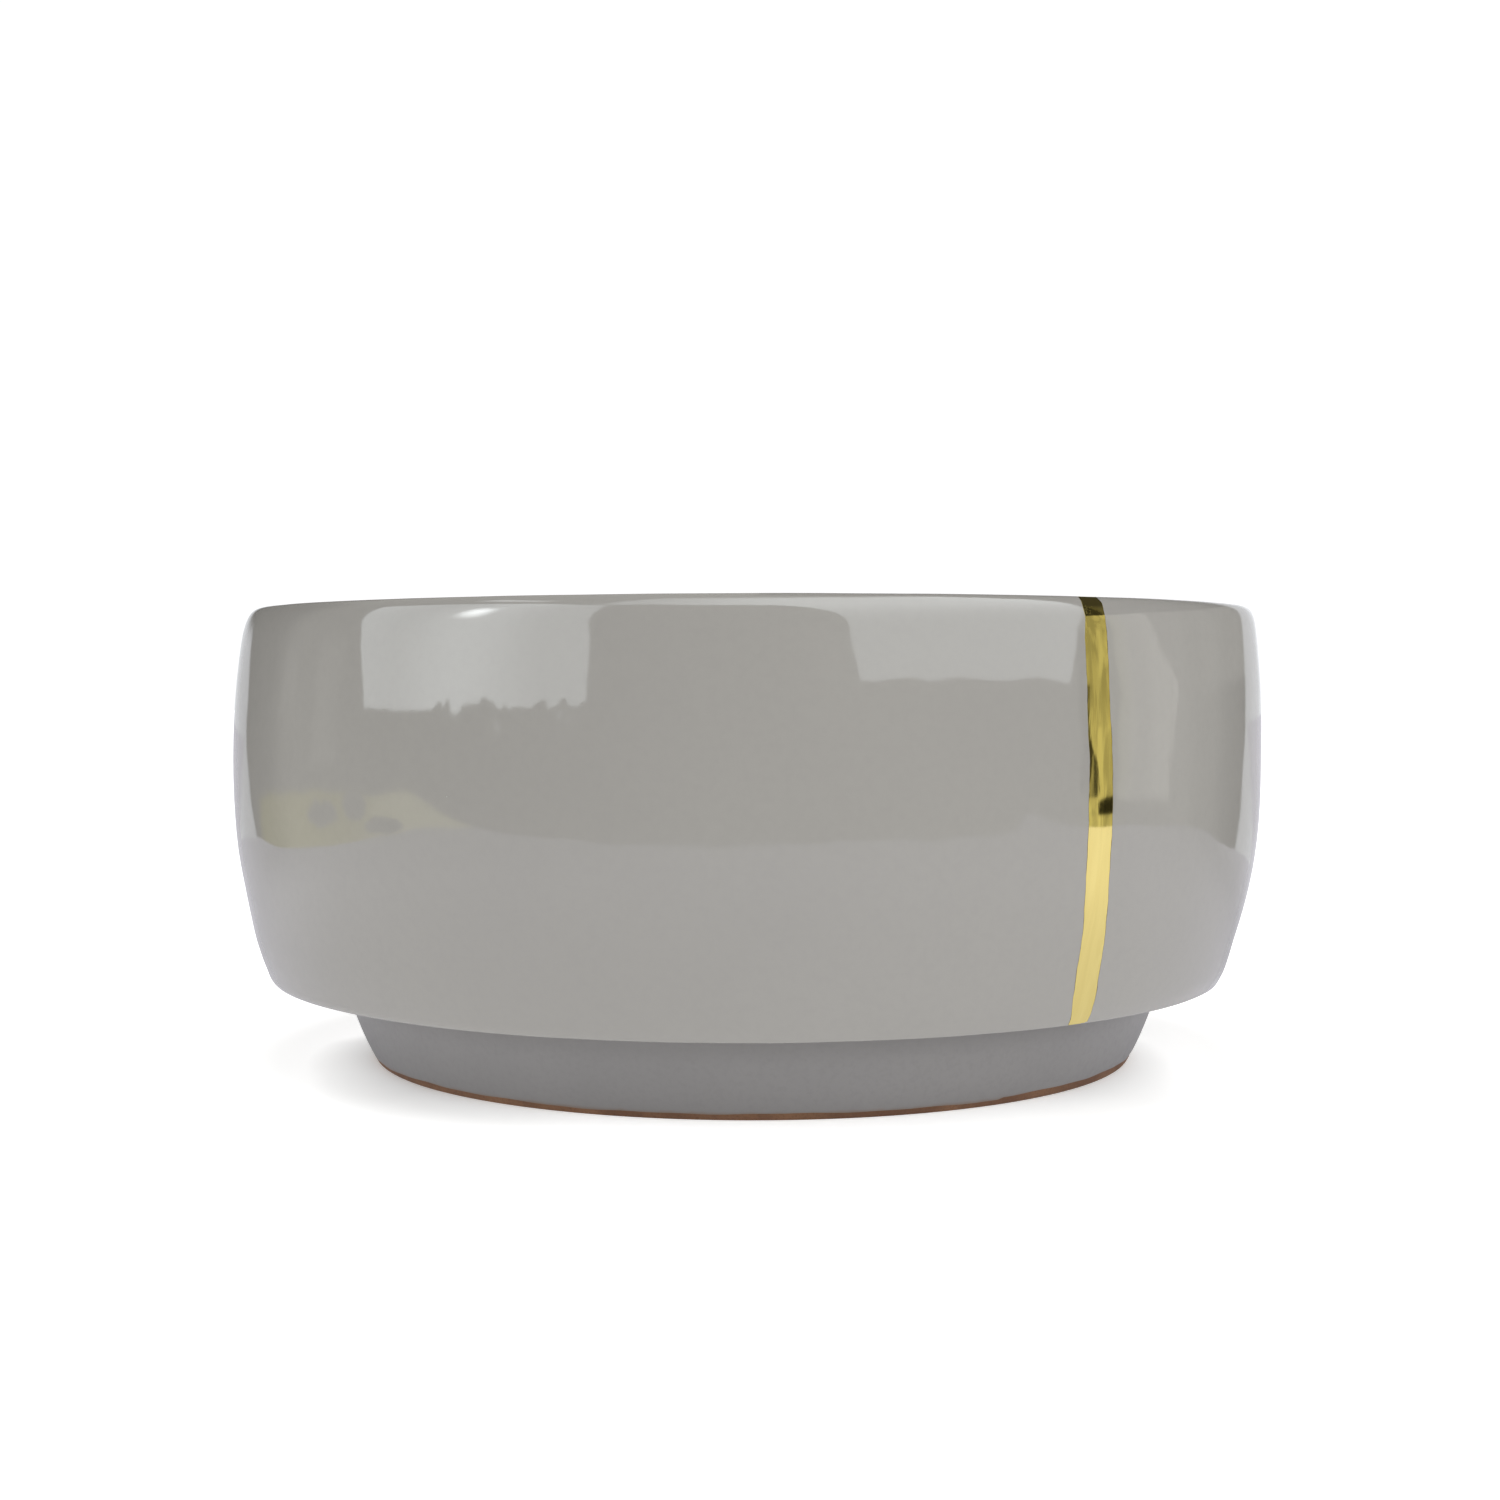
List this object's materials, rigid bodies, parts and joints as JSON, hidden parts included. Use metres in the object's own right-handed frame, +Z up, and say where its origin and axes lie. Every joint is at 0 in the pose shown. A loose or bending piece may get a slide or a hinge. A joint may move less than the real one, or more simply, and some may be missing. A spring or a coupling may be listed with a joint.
{
  "type": "footed ceramic bowl",
  "caption": "Low wide round ceramic bowl, hollow, with a barrel-shaped wall, softly rounded rim, tapered foot and a painted gold stripe running over the rim.",
  "frame": {"origin": "centre of the foot ring's underside, on the surface the bowl stands on", "axes": "+Z up along the axis the bowl is turned on, -Y towards the side shown in the picture, with the gold stripe 33 degrees round from -Y towards +X"},
  "size_m": [0.3, 0.3, 0.1296],
  "materials": {
    "glaze": "high-gloss warm light grey glaze, satin on the foot, with a gold lustre stripe"
  },
  "bodies": {
    "root": {"bowl": "glaze"}
  },
  "joints": []
}
